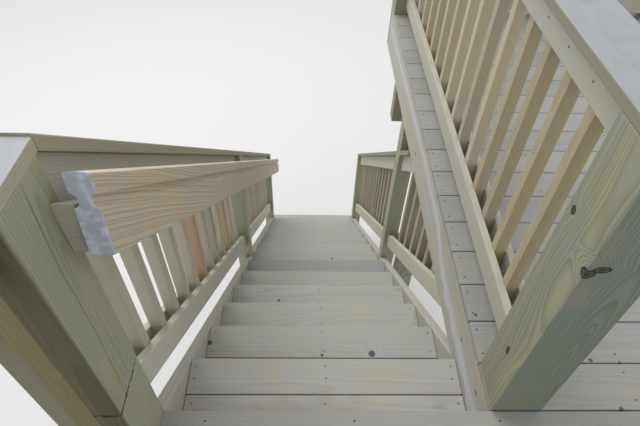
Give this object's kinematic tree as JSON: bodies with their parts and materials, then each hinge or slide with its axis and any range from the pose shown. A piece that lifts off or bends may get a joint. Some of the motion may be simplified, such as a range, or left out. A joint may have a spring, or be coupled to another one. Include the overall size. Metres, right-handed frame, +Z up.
{
  "type": "wooden deck stairs",
  "caption": "Open-riser timber stair flight with notched stringers and a graspable handrail, dropping from a railed deck whose wing runs alongside.",
  "frame": {"origin": "centre of the bounding box's bottom, on the ground", "axes": "+X to the right for someone going down the flight, +Y the way they go down, +Z up"},
  "size_m": [2.7178, 4.7104, 4.1841],
  "materials": {
    "tread": "new pressure-treated pine, bare",
    "deck_board": "new pressure-treated pine, bare",
    "framing": "pressure-treated pine, bare",
    "skirt": "pressure-treated pine, bare",
    "post": "green-tinted pressure-treated pine, bare",
    "rail": "pressure-treated pine, bare",
    "cap": "pressure-treated pine, bare",
    "baluster": "pressure-treated pine, bare",
    "handrail": "routed pressure-treated pine, bare, with a sealed end"
  },
  "bodies": {
    "root": {"tread_01": "tread", "tread_02": "tread", "tread_03": "tread", "tread_04": "tread", "tread_05": "tread", "tread_06": "tread", "tread_07": "tread", "tread_08": "tread", "tread_09": "tread", "tread_10": "tread", "tread_11": "tread", "tread_12": "tread", "tread_13": "tread", "tread_14": "tread", "stringers": "framing", "skirts": "skirt", "newel_upper": "post", "newel_lower": "post", "deck_guard_posts": "post", "stair_posts": "post", "stair_bottom_rails": "rail", "stair_top_rails": "rail", "stair_caps": "cap", "baluster_strip": "framing", "stair_balusters_left": "baluster", "stair_balusters_right": "baluster", "handrail": "handrail", "handrail_backer": "rail", "landing_boards": "deck_board", "wing_boards": "deck_board", "rim_joists": "framing", "joists": "framing", "wing_side_joist": "framing", "beams": "framing", "support_posts": "post", "stair_header": "framing", "header_cleats": "framing", "deck_rails": "rail", "deck_cap_wing": "cap", "deck_cap_far": "cap", "deck_cap_left": "cap", "wing_balusters": "baluster", "far_balusters": "baluster", "left_balusters": "baluster"}
  },
  "joints": []
}
